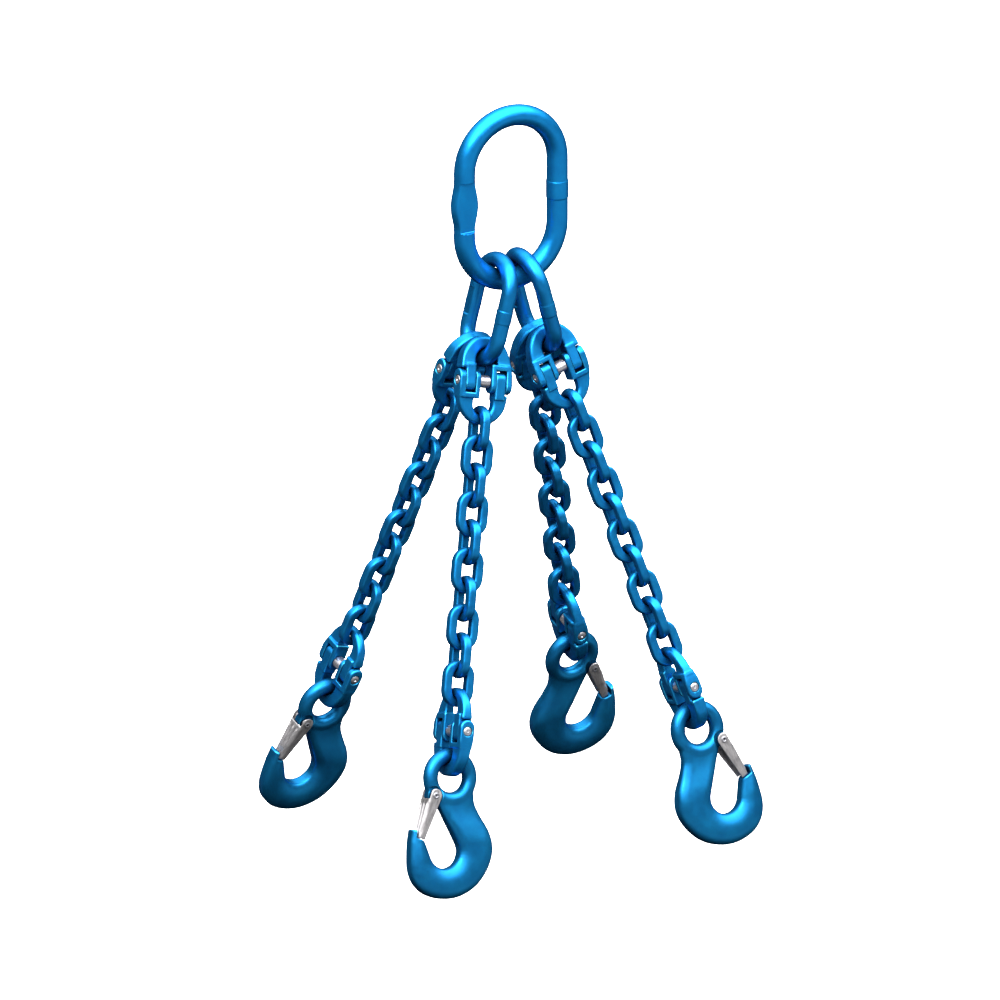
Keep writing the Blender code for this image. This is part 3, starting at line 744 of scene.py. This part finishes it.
def paint(name, colour, dark, worn_and_highlit):
    """Metallic blue paint on forged steel: cloudy, with orange peel, painted shade in its recesses, and
    worn edges that are partly a painted highlight.
    """
    nodes = Nodes(name)
    cloud = nodes.noise(45, 4, 0.6)
    body = nodes.mix(nodes.ramp(cloud, 0.35, 0.7, 0, 1), dark, colour)
    # Worn edges: the pointiest edges turn a light cyan blue, partly wear and partly a painted highlight
    # along the edges.
    point = nodes.add("ShaderNodeNewGeometry").outputs["Pointiness"]
    edge = nodes.ramp(point, 0.524, 0.556, 0, 1)
    wear_and_highlight_breakup = nodes.ramp(nodes.noise(260, 5, 0.65), 0.38, 0.6, 0.45, 1.0)
    wear_and_highlight = nodes.math("MULTIPLY", edge, wear_and_highlight_breakup)
    body = nodes.mix(wear_and_highlight, body, worn_and_highlit)
    # Painted shade: the colour turns a dark navy where ambient occlusion finds other surfaces close by.
    recess = nodes.add("ShaderNodeAmbientOcclusion", Distance=RECESS_REACH * MM)
    recess.samples = 4
    body = nodes.mix(nodes.ramp(recess.outputs["AO"], 0.1, 0.75, 0, 1), RECESS_SHADE, body)
    nodes.set(nodes.shader.inputs["Base Color"], body)
    nodes.shader.inputs["Metallic"].default_value = 0.86
    gloss = nodes.ramp(nodes.noise(120, 5, 0.6), 0.3, 0.7, 0.30, 0.42)
    nodes.set(nodes.shader.inputs["Roughness"], gloss)
    nodes.shader.inputs["Specular Tint"].default_value = EDGE_TINT
    nodes.shader.inputs["Coat Weight"].default_value = 0.04
    nodes.shader.inputs["Coat Roughness"].default_value = 0.2
    peel = nodes.math("MULTIPLY", nodes.noise(900, 2, 0.5), 0.35)
    nodes.bump(nodes.math("ADD", peel, nodes.noise(70, 3, 0.5)), 0.14, 0.0006)
    return nodes.material


def steel(name, colour, dark, rough, stretch):
    """Bright plated steel with fine drawn lines and dull patches."""
    nodes = Nodes(name)
    lines = nodes.noise(420, 4, 0.6, stretch)
    patch = nodes.noise(90, 4, 0.6, tuple(math.sqrt(s) for s in stretch))
    tone = nodes.mix(nodes.ramp(patch, 0.35, 0.65, 0, 1), dark, colour)
    nodes.set(nodes.shader.inputs["Base Color"], tone)
    nodes.shader.inputs["Metallic"].default_value = 0.92
    gloss = nodes.ramp(lines, 0.3, 0.7, rough - 0.07, rough + 0.10)
    nodes.set(nodes.shader.inputs["Roughness"], gloss)
    nodes.bump(lines, 0.18, 0.0003)
    return nodes.material


# ---------------------------------------------------------------- placing


def axes_at(origin, across, up):
    """The matrix of a frame with X along across and Z as near up as it can be."""
    across = across.normalized()
    side = up.cross(across).normalized()
    placed = Matrix((across, side, across.cross(side))).transposed().to_4x4()
    placed.translation = origin
    return placed


def joint_point(name):
    return Vector(JOINTS[name]["pos_m"])


def joint_axis(name):
    return Vector(JOINTS[name]["axis"]).normalized()


def put(name, mesh, slot, world, body, node):
    """A piece in its place, riding on its body and standing for a node of the frame.

    A painted piece has its place in its points, as the frame's own nodes do, so no two show
    the same pattern. A steel piece keeps its own axes, which its drawn lines follow.
    """
    painted = slot.endswith("_paint")
    piece = bpy.data.objects.new(name, mesh.copy() if painted else mesh)
    bpy.context.scene.collection.objects.link(piece)
    if painted:
        piece.data.transform(world)
    else:
        piece.matrix_world = world
    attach(piece, body)
    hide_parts(node)
    return piece


def place_master(shapes):
    """The master link. Its box is wider on the left, where its flat bulges."""
    low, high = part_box("master_link")
    inner, bar = MASTER["inner"], MASTER["bar"]
    centre = Vector((high.x - (inner[0] / 2 + bar) * MM, 0, (low.z + high.z) / 2))
    placed = Matrix.Translation(centre)
    put("master_link_forging", shapes["master"], "master_link_paint", placed, "master", "master_link")


def place_intermediate(shapes, word):
    node, body = f"{word}_intermediate_link", f"{word}_intermediate"
    low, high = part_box(node)
    centre = (low + high) / 2
    placed = axes_at(centre, Y, joint_point(f"{word}_intermediate_swing") - centre)
    put(f"{node}_forging", shapes["intermediate"], "intermediate_link_paint", placed, body, node)


def place_coupling(shapes, where, halves, at_pin, hung):
    """Both halves, the pin and its sleeve. The upper half is placed by at_pin, the lower by hung,
    and halves gives the (shape, node, body) of each.
    """
    for (shape, node, body), placed in zip(halves, (at_pin, hung)):
        put(f"{node}_forging", shapes[shape], "coupling_paint", placed, body, node)
    pin, pin_body = f"{where}_pin", halves[0][2]
    put(f"{where}_load_pin", shapes["pin"], "load_pin_steel", at_pin, pin_body, pin)
    slit = at_pin @ Matrix.Rotation(SLIT_TURN, 4, "X")
    put(f"{where}_sleeve", shapes["sleeve"], "load_pin_steel", slit, pin_body, pin)


def place_chain(shapes, leg, across, down):
    """The leg's links, two on each body, every link a quarter turn from the one above."""
    for piece in range(1, CHAIN_PIECES + 1):
        shift = CHAIN_PIVOT if piece % 2 else -CHAIN_PIVOT
        top = joint_point(f"{leg}_chain_{piece}_swing") + shift * MM * down
        placed = axes_at(top, across, -down)
        for half in (0, 1):
            turned = Matrix.Rotation(math.pi / 2 * (1 - half), 4, "Z")
            lowered = Matrix.Translation(-(half + 0.5) * CHAIN_PITCH * MM * Z)
            name = f"{leg}_chain_link_{2 * piece - 1 + half:02d}"
            node = f"{leg}_chain_{piece}"
            put(name, shapes["chain_link"], "chain_paint", placed @ lowered @ turned, node, node)


def place_hook(shapes, leg, across, down):
    """The hook, and the latch with its spring and rivet."""
    hook_body, latch_body = f"{leg}_hook_body", f"{leg}_latch_body"
    eye = joint_point(f"{leg}_hook_swing") + (EYE_RADIUS + EYE_BAR / 2) * MM * down
    hung = axes_at(eye, across, -down)
    put(f"{leg}_hook_forging", shapes["hook"], "hook_paint", hung, hook_body, f"{leg}_hook")
    pivot = axes_at(joint_point(f"{leg}_latch_turn"), across, -down)
    lean = pivot @ Matrix.Rotation(-LATCH_LEAN, 4, "Y")
    put(f"{leg}_latch_sheet", shapes["latch"], "latch_steel", lean, latch_body, f"{leg}_latch")
    put(f"{leg}_latch_spring", shapes["spring"], "latch_steel", lean, latch_body, f"{leg}_latch")
    along = pivot @ Matrix.Rotation(math.pi / 2, 4, "Z")
    rivet, pin = f"{leg}_latch_rivet", f"{leg}_latch_pin"
    put(rivet, shapes["latch_pin"], "latch_pin_steel", along, hook_body, pin)


def place_leg(shapes, leg):
    """One leg from its upper coupling down. Legs on the right are mirrored by their axes."""
    upper_pin = joint_point(f"{leg}_upper_coupling_hinge")
    lower_pin = joint_point(f"{leg}_lower_coupling_hinge")
    side = 1 if upper_pin.x > 0 else -1
    down = (lower_pin - upper_pin).normalized()
    across = side * joint_axis(f"{leg}_upper_coupling_hinge")
    sideways = across.cross(down)
    top_down = (side * joint_axis(f"{leg}_upper_coupling_swing")).cross(across)

    halves = (
        ("load_half", f"{leg}_upper_coupling_top_half", f"{leg}_upper_coupling_top"),
        ("chain_half", f"{leg}_upper_coupling_chain_half", f"{leg}_upper_coupling_bottom"),
    )
    at_pin, hung = axes_at(upper_pin, across, -top_down), axes_at(upper_pin, -across, down)
    place_coupling(shapes, f"{leg}_upper_coupling", halves, at_pin, hung)

    place_chain(shapes, leg, across, down)

    halves = (
        ("chain_half", f"{leg}_lower_coupling_chain_half", f"{leg}_lower_coupling_top"),
        ("load_half", f"{leg}_lower_coupling_hook_half", f"{leg}_lower_coupling_bottom"),
    )
    at_pin, hung = axes_at(lower_pin, sideways, -down), axes_at(lower_pin, -sideways, down)
    place_coupling(shapes, f"{leg}_lower_coupling", halves, at_pin, hung)
    place_hook(shapes, leg, across, down)


# ---------------------------------------------------------------- studio


def floor():
    """A plain white floor, which neither lights the part nor is reflected in it."""
    lowest = CAD_BOX[0][2]
    bpy.ops.mesh.primitive_plane_add(size=16, location=(0, 0, lowest - 0.05))
    plane = bpy.context.object
    plane.name = "floor"
    nodes = Nodes("floor_white")
    nodes.set(nodes.shader.inputs["Base Color"], (0.9, 0.9, 0.9, 1))
    nodes.shader.inputs["Roughness"].default_value = 0.9
    nodes.shader.inputs["Emission Color"].default_value = (1, 1, 1, 1)
    nodes.shader.inputs["Emission Strength"].default_value = 0.75
    plane.data.materials.append(nodes.material)
    plane.visible_diffuse = False
    plane.visible_glossy = False


def sky_by_height(tree, direction):
    """The colour socket of a grey ramp that follows SKY from straight down to straight up."""
    parts = tree.nodes.new("ShaderNodeSeparateXYZ")
    height = tree.nodes.new("ShaderNodeMapRange")
    ramp = tree.nodes.new("ShaderNodeValToRGB")
    tree.links.new(direction, parts.inputs[0])
    tree.links.new(parts.outputs["Z"], height.inputs["Value"])
    height.inputs["From Min"].default_value = -1
    tree.links.new(height.outputs["Result"], ramp.inputs["Fac"])
    stops = ramp.color_ramp.elements
    while len(stops) < len(SKY):
        stops.new(0.5)
    for stop, (level, light) in zip(stops, SKY):
        stop.position = (level + 1) / 2
        stop.color = (light / SKY_STRENGTH,) * 3 + (1,)
    return ramp.outputs["Color"]


def sky_by_side(tree, direction):
    """The strength socket: full towards SKY_FRONT, and SKY_BACK_SHARE of that behind."""
    facing = tree.nodes.new("ShaderNodeVectorMath")
    facing.operation = "DOT_PRODUCT"
    tree.links.new(direction, facing.inputs[0])
    facing.inputs[1].default_value = SKY_FRONT
    share = tree.nodes.new("ShaderNodeMapRange")
    share.interpolation_type = "SMOOTHSTEP"
    tree.links.new(facing.outputs["Value"], share.inputs["Value"])
    share.inputs["From Min"].default_value, share.inputs["From Max"].default_value = SKY_FACING
    share.inputs["To Min"].default_value = SKY_BACK_SHARE * SKY_STRENGTH
    share.inputs["To Max"].default_value = SKY_STRENGTH
    return share.outputs["Result"]


def world():
    """A soft sky, lightest overhead and on its front side."""
    made = bpy.data.worlds.new("studio")
    made.use_nodes = True
    bpy.context.scene.world = made
    tree = made.node_tree
    direction = tree.nodes.new("ShaderNodeTexCoord").outputs["Generated"]
    background = tree.nodes["Background"]
    tree.links.new(sky_by_height(tree, direction), background.inputs["Color"])
    tree.links.new(sky_by_side(tree, direction), background.inputs["Strength"])


def key_lamp():
    """A soft lamp from the front, the left and above."""
    light = bpy.data.lights.new("key", "AREA")
    light.shape = "RECTANGLE"
    light.size, light.size_y = KEY_SIZE
    light.energy = KEY_POWER
    made = bpy.data.objects.new("key", light)
    bpy.context.scene.collection.objects.link(made)
    made.location = KEY_PLACE
    aim = Vector(KEY_TARGET) - Vector(KEY_PLACE)
    made.rotation_euler = aim.to_track_quat("-Z", "Y").to_euler()


def camera():
    """A camera without perspective, at the photo's viewing angle."""
    low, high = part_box("master_link")
    centre = Vector((0, 0, (low.z + high.z) / 2))
    level = Vector((math.sin(AZIMUTH), -math.cos(AZIMUTH), 0))
    towards = math.cos(ELEVATION) * level + math.sin(ELEVATION) * Z
    right = Vector((math.cos(AZIMUTH), math.sin(AZIMUTH), 0))
    up = towards.cross(right)
    middle = centre + VIEW_SHIFT[0] * right + VIEW_SHIFT[1] * up
    lens = bpy.data.cameras.new("camera")
    lens.type = "ORTHO"
    lens.ortho_scale = VIEW_SIZE
    made = bpy.data.objects.new("camera", lens)
    bpy.context.scene.collection.objects.link(made)
    made.matrix_world = Matrix((right, up, towards)).transposed().to_4x4()
    made.location = middle + CAMERA_DISTANCE * towards
    bpy.context.scene.camera = made


def studio():
    floor()
    world()
    key_lamp()
    camera()
    bpy.context.scene.view_settings.view_transform = "Standard"


# ---------------------------------------------------------------- the sling


def build():
    finishes = {name: paint(name, *colours) for name, colours in PAINTS.items()}
    finishes.update({name: steel(name, *settings) for name, settings in STEELS.items()})
    intermediate = (INTERMEDIATE, INTERMEDIATE_FLAT, INTERMEDIATE_COLLAR)
    shapes = {
        "master": pressed_link("master_link", MASTER, MASTER_FLAT, MASTER_COLLAR, -1, 48, 56),
        "intermediate": pressed_link("intermediate_link", *intermediate, 1, 36, 48),
        "chain_link": chain_link(),
        "load_half": coupling_half("load_half", LOAD_BOW),
        "chain_half": coupling_half("chain_half", CHAIN_BOW),
        "pin": load_pin(),
        "sleeve": sleeve(),
        "hook": hook(),
        "latch": latch(),
        "latch_pin": latch_pin(),
        "spring": latch_spring(),
    }
    for name, mesh in shapes.items():
        mesh.materials.clear()
        mesh.materials.append(finishes[SLOTS[name]])
    place_master(shapes)
    for word in ("left", "right"):
        place_intermediate(shapes, word)
    for leg in ("front_left", "front_right", "back_left", "back_right"):
        place_leg(shapes, leg)


build()
studio()
bpy.context.view_layer.update()
